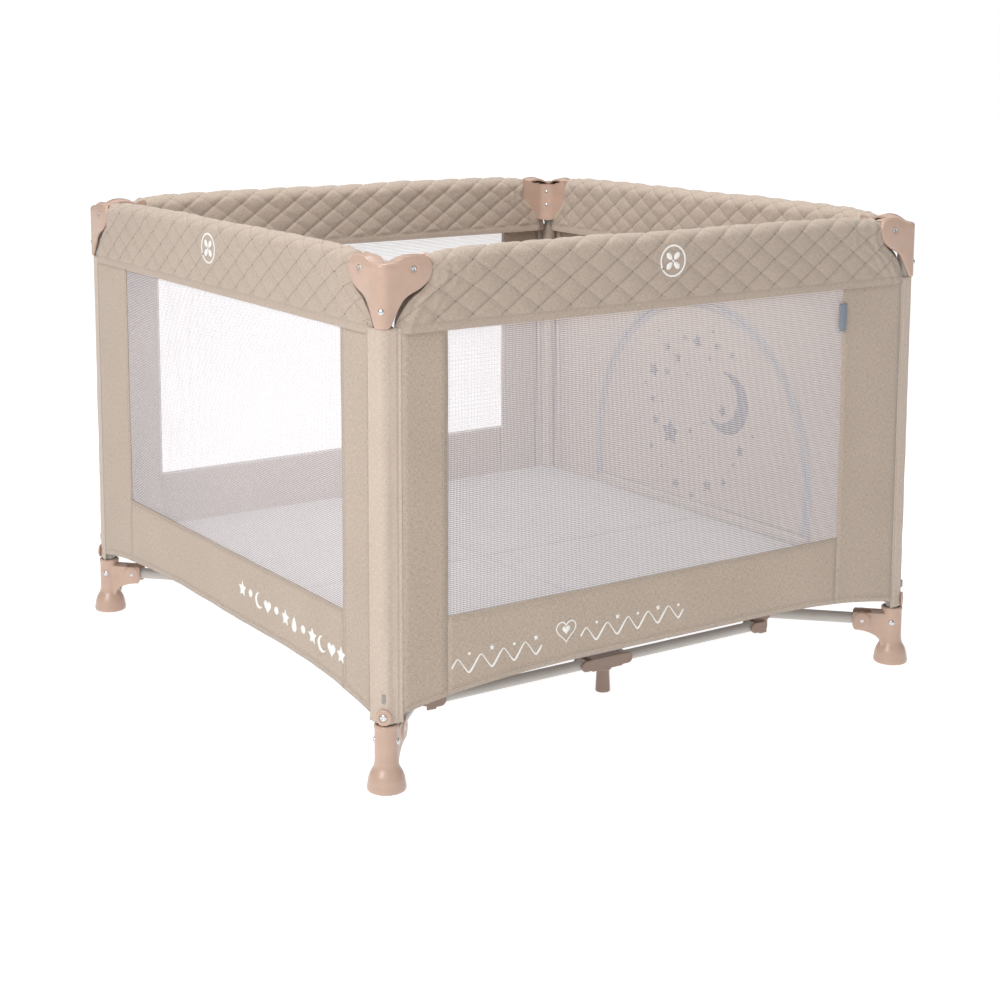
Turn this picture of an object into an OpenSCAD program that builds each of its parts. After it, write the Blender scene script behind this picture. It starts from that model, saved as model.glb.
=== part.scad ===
// Folding square playpen: four posts, four centre-latched top rails, a base of
// four diagonal tubes that meet at a hub, and two cross tubes with middle legs.
// Every corner and every side is the same group of parts turned by 90 degrees.

/* [Frame] */
// Distance from the centre to each post's axis, along X and Y
half_span = 470; // [460:1:490]
// Height of the top rails' axis above the floor
rail_z = 697; // [680:1:710]
// Height of the diagonal base tubes' axis
base_z = 67; // [66:1:72]
// How far the cross tubes lie below the diagonal tubes
cross_drop = 19; // [19:1:22]
// Outer radius of a post
post_r = 10; // [9.5:0.1:10.4]
// Outer radius of the rails and diagonal tubes
tube_r = 9; // [8:0.5:9]
// Outer radius of the cross tubes
cross_r = 8; // [7:0.5:8]
// Wall thickness of every tube
tube_wall = 1.2; // [1:0.1:1.6]

/* [Pivots] */
// Rail pivot's distance from the post's axis
cap_pivot = 36; // [35:1:45]
// Rail pivot's distance from the middle of the latch
latch_pivot = 64; // [55:1:66]
// Diagonal tube pivot's distance from the post's axis
foot_pivot = 46; // [44:1:50]
// Saddle's distance from the foot pivot, along the diagonal tube
saddle_at = 155; // [105:1:160]
// Cross tube pivot's distance from the saddle's own pivot
saddle_arm = 28; // [28:1:32]
// Radius of every pivot pin
pin_r = 3; // [2.5:0.1:3.2]
// Radial running clearance of a tube's eye on its pin
pin_gap = 0.06; // [0.03:0.01:0.09]

/* [Corner castings] */
// Height of the top of the corner cap
cap_top = 715; // [710:1:720]
// Lowest point of the corner cap's column
cap_bottom = 622; // [614:1:626]
// Radius of each rounded lobe of the cap
lobe_r = 25; // [23:1:26]
// Distance from the post's axis to the middle of a lobe
lobe_x = 40; // [38:1:40]
// Radius of the cap's column
cap_column_r = 15.5; // [15.2:0.1:15.8]
// How far the cap's top dips between its two lobes
valley = 9; // [7:1:9]
// Half of the pocket that a rail's end turns in
pocket = 10.4; // [10:0.1:10.8]
// Wall thickness of the caps, latches and brackets
shell = 4; // [3.5:0.1:4.2]
// Radius of the foot where it meets the floor
foot_r = 26.5; // [24:0.5:28]
// Radius of the foot's column
foot_column_r = 16; // [15:0.5:17]
// Height of the foot
foot_top = 90; // [88:1:92]

/* [Fabric] */
// Thickness of the wall fabric, as a stand-in sheet
sheet = 2.2; // [2:0.1:2.6]
// Lowest edge of the wall's skirt
skirt_bottom = 115; // [112:1:118]
// Lower edge of the padded rail cover
cover_bottom = 615; // [612:1:620]
// Half of the padded rail cover's thickness
cover_r = 20; // [19.5:0.1:21]
// Height of the padded rail cover's top
cover_top = 722; // [718:1:726]
// Thickness of the cover's padding
cover_wall = 4.6; // [4:0.1:4.8]
// Distance from a post's axis to the end of the rail cover
cover_inset = 66; // [66:1:72]
// Top of the floor pad
pad_top = 136; // [132:1:140]
// Thickness of the floor pad
pad_thick = 14; // [10:1:24]
// Half width of the zipped door, which is the radius of its arch
door_r = 300; // [280:1:310]
// How far the zipped door's middle lies from the middle of its side
door_shift = 30; // [0:1:40]
// Lower edge of the zipped door, where it hinges
door_bottom = 150; // [145:1:160]

/* [Hidden] */
$fn = 48;
root2 = sqrt(2);
rail_length = half_span - cap_pivot - latch_pivot;
diagonal_length = root2 * rail_length;
// the base folds at the same angle as the rails when these two sums agree
hub_pivot = root2 * (cap_pivot + latch_pivot) - foot_pivot;
cross_pivot = cap_pivot + latch_pivot - foot_pivot / root2 - saddle_arm;
cross_length = rail_length - saddle_at / root2;
saddle_xy = (foot_pivot + saddle_at) / root2;
cross_z = base_z - cross_drop;
// side clearance of a tube between the two plates that hold it
ear = 0.4;
// rivets: shank, head and how far a head stands out
shank_r = 2.5;
head_r = 5;
head_high = 1.8;
// half the height of the foot's arm, which is also the radius of its end
arm_r = 12;
// where the lobe meets the cap's column
neck_x = 19;
// a post stands in its foot and ends inside its cap
post_low = 8;
post_top = rail_z + 6;
// lowest point of the cap's inner half
inner_low = rail_z - 62;
// lower end of the cloth sleeves, and their clearance round the posts
sleeve_low = 96;
sleeve_gap = 0.25;
sleeve_r = post_r + 2.4;
sheet_out = sleeve_r + 2;
sheet_in = sheet_out - sheet;
// where the door's straight sides end and its arch begins
arch_z = 235;
// long enough to cut right through any part
big = 2000;

CORNERS = ["front_left", "front_right", "back_right", "back_left"];
SIDES = ["front", "right", "back", "left"];

fabric = [0.80, 0.74, 0.67];
plastic = [0.80, 0.68, 0.60];
tube_white = [0.92, 0.92, 0.92];
chrome = [0.78, 0.79, 0.80];

// ---- placing -------------------------------------------------------------

module at_corner(i) { rotate([0, 0, 90 * i]) translate([-half_span, -half_span, 0]) children(); }
module at_side(i) { rotate([0, 0, 90 * i]) translate([0, -half_span, 0]) children(); }
module at_diagonal(i) { at_corner(i) rotate([0, 0, 45]) children(); }
module swap_xy() { mirror([1, -1, 0]) children(); }
module both_ways() { children(); swap_xy() children(); }
// a cylinder along Y, from -half to half
module across(r, half) { rotate([90, 0, 0]) cylinder(r = r, h = 2 * half, center = true); }
// the same in two separate plates, from near to far on either side
module ears(r, near, far) {
  for (s = [-1, 1]) translate([0, s * (near + far) / 2, 0]) across(r, (far - near) / 2);
}
module box(x0, x1, y0, y1, z0, z1) { translate([x0, y0, z0]) cube([x1 - x0, y1 - y0, z1 - z0]); }
module side_boxes(x0, x1, near, far, z0, z1) {
  for (s = [-1, 1]) box(x0, x1, s < 0 ? -far : near, s < 0 ? -near : far, z0, z1);
}

// ---- tubes ---------------------------------------------------------------

// A hollow tube along X between two eyes whose bores run along Y
module link(length, r) {
  difference() {
    union() {
      rotate([0, 90, 0]) cylinder(r = r, h = length);
      across(r, r);
      translate([length, 0, 0]) across(r, r);
    }
    translate([r, 0, 0]) rotate([0, 90, 0]) cylinder(r = r - tube_wall, h = length - 2 * r);
    for (x = [0, length]) translate([x, 0, 0]) across(pin_r + pin_gap, r + 1);
  }
}

module post(i) {
  color(tube_white) at_corner(i) translate([0, 0, post_low]) difference() {
    cylinder(r = post_r, h = post_top - post_low);
    translate([0, 0, -1]) cylinder(r = post_r - tube_wall, h = post_top);
  }
}

module rail(i, end) {
  color(tube_white) at_side(i)
    translate([end == "a" ? cap_pivot - half_span : latch_pivot, 0, rail_z])
      link(rail_length, tube_r);
}

module base_tube(i) {
  color(tube_white) at_diagonal(i) translate([foot_pivot, 0, base_z]) difference() {
    link(diagonal_length, tube_r);
    translate([saddle_at, 0, 0]) across(pin_r + pin_gap, tube_r + 1);
  }
}

module cross(i, end) {
  color(tube_white) at_side(i)
    translate([end == "a" ? -cross_pivot - cross_length : cross_pivot, saddle_xy, cross_z])
      link(cross_length, cross_r);
}

// ---- corner castings -----------------------------------------------------

// Outline of one lobe and its neck: x along the side, y up
module lobe_outline(low, inner) {
  lobe_z = cap_top - lobe_r;
  // direction from the lobe's centre to where a line from the neck touches it
  touch = atan2(low - lobe_z, neck_x - lobe_x) + acos(lobe_r / norm([low - lobe_z, neck_x - lobe_x]));
  translate([lobe_x, lobe_z]) circle(r = lobe_r);
  polygon([[inner, low], [neck_x, low], [lobe_x + lobe_r * cos(touch), lobe_z + lobe_r * sin(touch)],
    [lobe_x, lobe_z], [lobe_x, cap_top], [inner, cap_top - valley]]);
}
module lobe_plate(low, inner, y0, y1) {
  translate([0, y1, 0]) rotate([90, 0, 0]) linear_extrude(y1 - y0) lobe_outline(low, inner);
}

module outer_cap(i) {
  color(plastic) at_corner(i) difference() {
    union() {
      both_ways() lobe_plate(cap_bottom + 28, -pocket - shell, -pocket - shell, pocket);
      translate([0, 0, cap_bottom]) cylinder(r = cap_column_r, h = cap_top - valley - cap_bottom);
    }
    both_ways() box(16, 90, -pocket, pocket + 1, cap_bottom - 1, rail_z + tube_r + 1.5);
    translate([0, 0, cap_bottom - 1]) cylinder(r = post_r, h = post_top - cap_bottom + 1);
    both_ways() translate([cap_pivot, -pocket - shell / 2, rail_z]) across(pin_r, shell);
    cap_rivet_place() cylinder(r = shank_r, h = 12);
  }
}
// on the column, pointing out along the diagonal
module cap_rivet_place() {
  translate([0, 0, cap_bottom + 22]) rotate([0, 0, 45]) rotate([0, -90, 0]) translate([0, 0, post_r])
    children();
}

module inner_cap(i) {
  color(plastic) at_corner(i) difference() {
    union() {
      both_ways() lobe_plate(inner_low + 8, pocket, pocket, pocket + shell);
      translate([0, 0, inner_low]) linear_extrude(cap_top - 4 - inner_low)
        polygon([[pocket, pocket], [32, pocket], [pocket, 32]]);
    }
    translate([0, 0, cap_bottom]) cylinder(r = cap_column_r + 0.1, h = 120);
    both_ways() translate([cap_pivot, pocket + shell / 2, rail_z]) across(pin_r, shell);
  }
}

module foot(i) {
  color(plastic) at_corner(i) difference() {
    union() {
      foot_bell();
      rotate([0, 0, 45]) translate([0, 0, base_z]) {
        translate([foot_pivot, 0, 0]) across(arm_r, tube_r + ear + shell);
        box(0, foot_pivot, -tube_r - ear - shell, tube_r + ear + shell, -arm_r, arm_r);
        // a short web under the arm
        box(0, 30, -tube_r, tube_r, -2 * arm_r, 0);
      }
    }
    translate([0, 0, post_low]) cylinder(r = post_r, h = foot_top);
    rotate([0, 0, 45]) translate([0, 0, base_z]) {
      // the slot that the diagonal tube stands up in
      box(foot_pivot - arm_r - 0.5, big, -tube_r - ear, tube_r + ear, -arm_r - 1, 30);
      translate([foot_pivot, 0, 0]) across(pin_r, 20);
      across(shank_r, 30);
    }
  }
}
module foot_bell() {
  rotate_extrude() difference() {
    union() {
      square([foot_r, 7]);
      translate([0, 7]) square([foot_r - 1, 34]);
      square([foot_column_r, foot_top]);
    }
    // concave flare from the bell to the column
    translate([foot_column_r + 34, 42]) circle(r = 34, $fn = 96);
  }
}

module rivets(i) {
  color(chrome) at_corner(i) {
    both_ways() translate([cap_pivot, 0, rail_z]) {
      across(pin_r, pocket + shell);
      ears(head_r, pocket + shell, pocket + shell + head_high);
    }
    cap_rivet_place() cylinder(r = shank_r, h = cap_column_r - post_r);
    cap_rivet_place() translate([0, 0, cap_column_r - post_r]) cylinder(r = head_r, h = head_high);
    rotate([0, 0, 45]) translate([0, 0, base_z]) {
      translate([foot_pivot, 0, 0]) {
        across(pin_r, tube_r + ear + shell);
        ears(head_r, tube_r + ear + shell, tube_r + ear + shell + head_high);
      }
      ears(shank_r, post_r, foot_column_r);
      ears(head_r, foot_column_r, foot_column_r + head_high);
    }
  }
}

// ---- brackets that stay level while the pen folds ------------------------

// Two ears either side of a tube's eye, with the pin that the eye turns on
module clevis(from, to, r, tube) {
  side_boxes(from, to, tube + ear, tube + ear + shell, -r, r);
  translate([to, 0, 0]) ears(r, tube + ear, tube + ear + shell);
  translate([to, 0, 0]) across(pin_r, tube + ear + 1);
}

module latch(i) {
  wide = tube_r + ear + shell;
  color(plastic) at_side(i) translate([0, 0, rail_z]) difference() {
    union() {
      box(-44, 44, -wide, wide, -20, 12);
      clevis(40, latch_pivot, 10, tube_r);
      mirror([1, 0, 0]) clevis(40, latch_pivot, 10, tube_r);
    }
    translate([0, -wide + 5, -4]) across(12.05, 6);
  }
}

module button(i) {
  color(plastic) at_side(i) translate([0, -tube_r - ear - shell, rail_z - 4]) {
    translate([0, 2, 0]) across(12, 3);
  }
}

// A dish with a hollow boss under the floor pad and four clevises for the tubes
module centre_hub() {
  boss_top = pad_top - pad_thick - 1;
  color(plastic) union() {
    difference() {
      union() {
        translate([0, 0, base_z - 9]) cylinder(r = 74, h = 18);
        translate([0, 0, base_z]) cylinder(r = 40, h = boss_top - base_z);
      }
      translate([0, 0, base_z - 10]) cylinder(r = 36, h = boss_top - base_z + 6);
      translate([0, 0, base_z - 10]) difference() {
        cylinder(r = 66, h = 15);
        cylinder(r = 40, h = 15);
      }
    }
    for (i = [0:3]) at_diagonal(i) translate([root2 * half_span, 0, base_z]) mirror([1, 0, 0])
      clevis(60, hub_pivot, 10, tube_r);
  }
}

// Hangs under a diagonal tube and holds the end of a cross tube
module saddle(i) {
  wide = tube_r + ear + shell;
  arm_wide = cross_r + ear + shell;
  color(plastic) at_corner(i) mirror([i % 2, -(i % 2), 0]) translate([saddle_xy, saddle_xy, base_z])
    difference() {
      union() {
        rotate([0, 0, 45]) {
          ears(10, tube_r + ear, wide);
          side_boxes(-5, 14, tube_r + ear, wide, -30, 0);
          box(10.2, 14.2, -wide, wide, -30, -10.4);
          across(pin_r, wide);
        }
        difference() {
          box(9, saddle_arm - 9, -arm_wide, arm_wide, -30, -10.4);
          rotate([0, 0, 45]) box(-40, 10.2, -tube_r - ear, tube_r + ear, -31, 0);
        }
        translate([0, 0, -cross_drop]) clevis(12, saddle_arm, 8.6, cross_r);
      }
    }
}

module middle_leg(i) {
  wide = cross_r + ear + shell;
  color(plastic) at_side(i) translate([0, saddle_xy, 0]) {
    translate([0, 0, cross_z]) {
      box(-28, 28, -wide, wide, -10, 9);
      clevis(24, cross_pivot, 8.6, cross_r);
      mirror([1, 0, 0]) clevis(24, cross_pivot, 8.6, cross_r);
    }
    cylinder(r1 = 11.5, r2 = 9.5, h = cross_z - 9);
    translate([0, 0, cross_z - 13]) cylinder(r = 13, h = 4);
  }
}

// ---- sewn parts, as plain closed solids ----------------------------------

module door_outline(gap) {
  wide = door_r - gap;
  translate([door_shift, 0]) intersection() {
    union() {
      translate([0, arch_z]) circle(r = wide, $fn = 96);
      translate([-wide, 0]) square([2 * wide, arch_z]);
    }
    translate([-wide, door_bottom + gap]) square([2 * wide, 2 * door_r]);
  }
}
module cover_outline(r) {
  arch_centre = cover_top - cover_r;
  translate([0, arch_centre]) circle(r = r);
  translate([-r, cover_bottom]) square([2 * r, arch_centre - cover_bottom]);
}

// One side's sewn piece: post sleeve, wall panel with its skirt, and rail cover
module wall(i) {
  cover_length = 2 * (half_span - cover_inset);
  color(fabric) at_side(i) union() {
    translate([-half_span, 0, sleeve_low]) difference() {
      cylinder(r = sleeve_r, h = cover_bottom - 1 - sleeve_low);
      translate([0, 0, -1]) cylinder(r = post_r + sleeve_gap, h = cap_bottom);
    }
    difference() {
      box(-half_span, half_span - 6, -sheet_out, -sheet_in, skirt_bottom, cover_bottom + 4);
      if (i == 1) translate([0, -sheet_in + 1, 0]) rotate([90, 0, 0]) linear_extrude(sheet + 4)
        door_outline(0);
    }
    box(-cover_length / 2, cover_length / 2, -cover_r, -sheet_in, cover_bottom - 2, cover_bottom + 4);
    translate([-cover_length / 2, 0, 0]) rotate([90, 0, 90]) linear_extrude(cover_length) difference() {
      cover_outline(cover_r);
      intersection() {
        cover_outline(cover_r - cover_wall);
        translate([-50, cover_bottom - 10]) square([100, 200]);
      }
    }
  }
}

module door_panel() {
  color(fabric) at_side(1) translate([0, -sheet_in, 0]) rotate([90, 0, 0]) linear_extrude(sheet)
    door_outline(0.6);
}

// A quarter of the padded floor, from one post to the centre
module floor_pad(i) {
  color([0.72, 0.69, 0.66]) at_corner(i) difference() {
    box(2, half_span - 0.4, 2, half_span - 0.4, pad_top - pad_thick, pad_top);
    translate([0, 0, 90]) cylinder(r = 17, h = 60);
  }
}

// ---- the assembly --------------------------------------------------------

for (i = [0:3]) {
  post(i);
  outer_cap(i);
  inner_cap(i);
  foot(i);
  rivets(i);
  base_tube(i);
  saddle(i);
  floor_pad(i);
  rail(i, "a");
  rail(i, "b");
  latch(i);
  button(i);
  wall(i);
}
for (i = [0, 2]) {
  cross(i, "a");
  cross(i, "b");
  middle_leg(i);
}
centre_hub();
door_panel();
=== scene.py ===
import math

import bmesh
import bpy
import numpy as np
from mathutils import Matrix, Vector, geometry, noise


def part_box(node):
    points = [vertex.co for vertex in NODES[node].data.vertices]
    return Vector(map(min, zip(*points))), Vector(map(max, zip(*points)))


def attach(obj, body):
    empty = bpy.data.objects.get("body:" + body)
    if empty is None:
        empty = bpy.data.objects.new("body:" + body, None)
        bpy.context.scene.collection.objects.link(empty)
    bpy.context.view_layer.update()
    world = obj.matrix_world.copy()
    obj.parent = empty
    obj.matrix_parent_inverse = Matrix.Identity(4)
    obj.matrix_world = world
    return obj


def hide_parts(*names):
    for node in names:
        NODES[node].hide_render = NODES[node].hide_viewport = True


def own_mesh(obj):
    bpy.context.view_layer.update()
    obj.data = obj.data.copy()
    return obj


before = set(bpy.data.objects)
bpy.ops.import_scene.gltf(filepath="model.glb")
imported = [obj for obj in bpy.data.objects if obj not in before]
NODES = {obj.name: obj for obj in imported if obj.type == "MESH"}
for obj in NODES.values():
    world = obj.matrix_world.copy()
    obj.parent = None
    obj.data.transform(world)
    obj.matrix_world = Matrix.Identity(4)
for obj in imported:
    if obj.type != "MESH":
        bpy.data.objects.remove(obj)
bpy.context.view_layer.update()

CORNERS = ["front_left", "front_right", "back_right", "back_left"]
SIDES = ["front", "right", "back", "left"]
MM = 0.001


def mid(node, axis):
    low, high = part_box(node)
    return (low[axis] + high[axis]) / 2 / MM


# main sizes in mm, all from the frame
HALF = -mid("front_left_post", 0)
RAIL_Z = mid("front_rail_a", 2)
BASE_Z = mid("front_left_base_tube", 2)
COVER_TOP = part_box("front_wall")[1].z / MM
PAD_LOW, PAD_TOP = (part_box("front_left_floor_pad")[k].z / MM for k in (0, 1))
# the pivots' distances from the post's axis
CAP_PIVOT = 36.0
FOOT_PIVOT = 46.0
# the zip runs a little inside the stand-in's edge
ZIP_IN = 14.0
DOOR_MID = mid("door_panel", 1)
DOOR_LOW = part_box("door_panel")[0].z / MM
DOOR_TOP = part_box("door_panel")[1].z / MM - ZIP_IN
DOOR_R = (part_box("door_panel")[1].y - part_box("door_panel")[0].y) / 2 / MM - ZIP_IN
# each mesh window's two ends along its own side, and the height of its lower edge
WINDOWS = {0: (-382.0, 330.0), 2: (-366.0, 360.0), 3: (-330.0, 382.0)}
WIN_LOW = 226.0
# the walls' cloth: its ends at the posts' sleeves, its top, and its hem in the middle and there
EDGE = 452.0
WALL_TOP = 628.0
SKIRT_MID, SKIRT_POST = 127.5, 104.0
# a rail cover's lower edge, radius over the rail, middle of that curve, and length round
TRIM_LOW, TRIM_R, TRIM_MID = 613.5, 17.6, COVER_TOP - 20.0
STRAIGHT = TRIM_MID - TRIM_LOW
GIRTH = 2 * STRAIGHT + math.pi * TRIM_R
# quilting: the diamonds' width and height, the distance between seams, and the plain margin
DIAMOND_W, DIAMOND_H = 53.0, 37.0
LINE_PITCH = 1 / math.hypot(1 / DIAMOND_W, 1 / DIAMOND_H)
QUILT_MARGIN = 13.0
DIAG = math.sqrt(0.5)
OUTWARD = (0, -1.0, 0)

# ---- camera ----------------------------------------------------------------

camera = bpy.data.objects.new("camera", bpy.data.cameras.new("camera"))
bpy.context.scene.collection.objects.link(camera)
camera.matrix_world = (
    Matrix.Translation((-1.6855, -2.5135, 0.9996))
    @ Matrix.Rotation(math.radians(-33.099), 4, "Z")
    @ Matrix.Rotation(math.radians(90 - 8.189), 4, "X")
)
# the upright edges are nearly parallel in the picture, so the view is partly shifted
camera.data.sensor_width = 36
camera.data.lens = 67.365
camera.data.shift_x, camera.data.shift_y = 0.04, -0.2
bpy.context.scene.camera = camera
bpy.context.scene.view_settings.view_transform = "Standard"

# ---- materials -------------------------------------------------------------


def linear(rgb):
    """Linear values of an 8-bit sRGB colour."""
    return np.array([((c / 255 + 0.055) / 1.055) ** 2.4 if c > 10 else c / 3295 for c in rgb])


def shade(rgb, share):
    """A colour's linear RGBA, made darker or lighter."""
    return tuple(np.clip(linear(rgb) * share, 0, 1)) + (1,)


class Mat:
    """A material with its nodes, built by short calls."""

    def __init__(self, name, roughness=0.6, **sockets):
        self.m = bpy.data.materials.new(name)
        self.m.use_nodes = True
        self.t = self.m.node_tree
        self.b = self.t.nodes["Principled BSDF"]
        self.b.inputs["Roughness"].default_value = roughness
        for k, v in sockets.items():
            self.b.inputs[k.replace("_", " ")].default_value = v

    def node(self, kind, **values):
        n = self.t.nodes.new("ShaderNode" + kind)
        for k, v in values.items():
            if hasattr(n, k):
                setattr(n, k, v)
            else:
                n.inputs[k.replace("_", " ")].default_value = v
        return n

    def link(self, a, b):
        self.t.links.new(a, b)

    def mapped(self, source, scale):
        mapping = self.node("Mapping", Scale=scale)
        self.link(source, mapping.inputs["Vector"])
        return mapping.outputs["Vector"]

    def cloth(self, scale=(1, 1, 1)):
        """The cloth's UVs, in metres."""
        return self.mapped(self.node("UVMap", uv_map="cloth").outputs["UV"], scale)

    def space(self):
        return self.mapped(self.node("TexCoord").outputs["Object"], (1, 1, 1))

    def noise(self, vector, scale=1.0, detail=3.0, rough=0.5):
        n = self.node("TexNoise", Scale=scale, Detail=detail, Roughness=rough)
        self.link(vector, n.inputs["Vector"])
        return n.outputs["Fac"]

    def wave(self, vector, scale, direction):
        n = self.node("TexWave", Scale=scale, Distortion=0.4)
        n.bands_direction = direction
        n.inputs["Detail Scale"].default_value = 2.0
        self.link(vector, n.inputs["Vector"])
        return n.outputs["Fac"]

    def split(self, vector):
        n = self.node("SeparateXYZ")
        self.link(vector, n.inputs[0])
        return n.outputs[0], n.outputs[1]

    def math(self, op, *values):
        n = self.node("Math", operation=op)
        for k, v in enumerate(values):
            if isinstance(v, (int, float)):
                n.inputs[k].default_value = v
            else:
                self.link(v, n.inputs[k])
        return n.outputs[0]

    def times(self, a, b):
        return self.math("MULTIPLY", a, b)

    def ramp(self, fac, stops):
        n = self.node("ValToRGB")
        e = n.color_ramp.elements
        while len(e) < len(stops):
            e.new(0.5)
        for k, (at, colour) in enumerate(stops):
            e[k].position, e[k].color = at, colour
        self.link(fac, n.inputs["Fac"])
        return n.outputs["Color"]

    def tones(self, fac, rgb, low, high, ends=(0.3, 0.7)):
        """Colours the surface between a darker and a lighter shade of one colour."""
        self.colour(self.ramp(fac, [(ends[0], shade(rgb, low)), (ends[1], shade(rgb, high))]))

    def mix(self, fac, a, b, kind="MIX"):
        n = self.node("Mix", data_type="RGBA", blend_type=kind)
        for k, v in ((0, fac), (6, a), (7, b)):
            if isinstance(v, (int, float, tuple)):
                n.inputs[k].default_value = v
            else:
                self.link(v, n.inputs[k])
        return n.outputs[2]

    def bump(self, height, distance, strength):
        n = self.node("Bump", Strength=strength, Distance=distance * MM)
        self.link(height, n.inputs["Height"])
        self.link(n.outputs["Normal"], self.b.inputs["Normal"])

    def colour(self, out):
        self.link(out, self.b.inputs["Base Color"])

    def worn(self, vector, scale, spread, roughness):
        """Roughness that varies by spread about its value."""
        rough = self.times(self.noise(vector, scale, 3.0), spread)
        self.link(self.math("ADD", rough, roughness - spread / 2), self.b.inputs["Roughness"])


def seam_thread_and_crease_shade(m, uv):
    """How much darker the seams are at a spot: the thread, and painted shade in the creases,
    along two families of slanted lines.
    """
    u, v = m.split(uv)
    lines = []
    for sign, weight in ((1, 0.22), (-1, 0.42)):
        phase = m.math(
            "MULTIPLY_ADD", v, sign / (DIAMOND_H * MM), m.times(u, 1 / (DIAMOND_W * MM)))
        away = m.times(m.math("PINGPONG", phase, 0.5), LINE_PITCH)
        lines.append(m.times(m.math("SUBTRACT", 1.4, away), weight))
    crease_and_thread_shade = m.math("MAXIMUM", m.math("MAXIMUM", *lines), 0.0)
    cover = m.times(
        m.math("GREATER_THAN", v, QUILT_MARGIN * MM),
        m.math("LESS_THAN", v, (GIRTH - QUILT_MARGIN) * MM))
    # the overlock stitch that holds the lower edge's tape: its height, tooth and thread in mm
    height, tooth, thread = 11.0, 1.6, 0.5
    edge = m.math("ABSOLUTE", m.math("SUBTRACT", v, height * MM))
    away = m.math("ABSOLUTE", m.math("SUBTRACT", edge, m.math("PINGPONG", u, tooth * MM)))
    zigzag = m.times(m.math("LESS_THAN", away, thread * MM), 0.3)
    return m.math("MAXIMUM", zigzag, m.times(m.math("MINIMUM", crease_and_thread_shade, 0.45), cover))


def woven(name, rgb, spread, roughness=0.9, pitch=0.85, quilted=False):
    """Plain woven cloth of melange yarn: UVs are metres along and across it, pitch is in mm."""
    m = Mat(name, roughness, Sheen_Weight=0.25, Sheen_Roughness=0.5, Specular_IOR_Level=0.25)
    uv = m.cloth()
    period = 0.31416 / (pitch * MM)
    warp, weft = (m.wave(uv, period, way) for way in "XY")
    along, across = (m.noise(m.cloth(s), 1.0, 2.0, 0.6) for s in ((170, 1000, 1), (1000, 170, 1)))
    fleck = m.noise(uv, 900.0, 2.0, 0.7)
    large = m.noise(uv, 9.0, 2.0)
    yarn = m.math("ADD", m.times(along, 0.5), m.times(across, 0.5))
    yarn = m.math("ADD", m.times(yarn, 0.8), m.times(fleck, 0.2))
    shares = (0.32, 1 - 2.0 * spread), (0.5, 1), (0.68, 1 + 1.7 * spread)
    tone = m.ramp(yarn, [(at, shade(rgb, k)) for at, k in shares])
    patches = m.ramp(large, [(0.3, (0.95, 0.945, 0.94, 1)), (0.7, (1, 1, 1, 1))])
    tone = m.mix(1.0, tone, patches, "MULTIPLY")
    if quilted:
        # along the quilting seams the cloth is darkened: dark thread, and painted shade where the
        # creases are
        tone = m.mix(seam_thread_and_crease_shade(m, uv), tone, shade(rgb, 0.55))
    m.colour(tone)
    m.bump(m.times(m.math("MAXIMUM", warp, weft), yarn), 0.35, 0.7)
    return m.m


def moulded(name, rgb, roughness=0.34):
    """Injection-moulded plastic: a fine grain, slight flow marks and uneven gloss."""
    m = Mat(name, roughness, Coat_Weight=0.25, Coat_Roughness=0.18, Specular_IOR_Level=0.5,
            Subsurface_Weight=0.05, Subsurface_Radius=(0.006, 0.003, 0.002))
    p = m.space()
    m.tones(m.noise(p, 38.0, 4.0, 0.6), rgb, 0.94, 1.05)
    m.worn(p, 90.0, 0.16, roughness)
    m.bump(m.noise(p, 2600.0, 2.0), 0.04, 0.5)
    return m.m


def powder_coated(name, rgb):
    m = Mat(name, 0.32, Coat_Weight=0.15, Coat_Roughness=0.2)
    p = m.space()
    m.tones(m.noise(p, 22.0, 3.0), rgb, 0.95, 1.03)
    m.bump(m.noise(p, 700.0, 2.0), 0.06, 0.4)
    return m.m


def metal(name, rgb, roughness=0.2):
    m = Mat(name, roughness, Metallic=1.0)
    p = m.space()
    m.tones(m.noise(p, 300.0, 3.0), rgb, 0.86, 1)
    m.worn(p, 900.0, 0.2, roughness)
    return m.m


def netting(name, rgb, pitch_u=2.3, pitch_v=2.7, level=0.26):
    """Knitted net with staggered holes, by alpha: it is open where the pattern is above level."""
    m = Mat(name, 0.75, Specular_IOR_Level=0.2)
    u, v = m.split(m.cloth())
    a = m.math("COSINE", m.times(u, math.pi / (pitch_u * MM)))
    b = m.math("COSINE", m.times(v, math.pi / (pitch_v * MM)))
    f = m.math("ABSOLUTE", m.times(a, b))
    # narrow ramp instead of a step, so that a small pixel doesn't flicker
    n = m.node("MapRange", From_Min=level - 0.1, From_Max=level + 0.1, To_Min=1.0, To_Max=0.0)
    m.link(f, n.inputs["Value"])
    m.link(n.outputs[0], m.b.inputs["Alpha"])
    m.tones(m.noise(m.cloth(), 1400.0, 2.0), rgb, 0.93, 1.03)
    m.bump(f, 0.3, 0.5)
    return m.m


def ink(name, rgb):
    m = Mat(name, 0.55)
    grain = m.noise(m.space(), 1500.0, 2.0)
    m.tones(grain, rgb, 0.9, 1, (0.3, 0.65))
    m.bump(grain, 0.1, 0.5)
    return m.m


LINEN = woven("linen_melange", (184, 168, 153), 0.2)
LINEN_TRIM = woven("linen_quilted", (183, 167, 153), 0.16, quilted=True)
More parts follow.
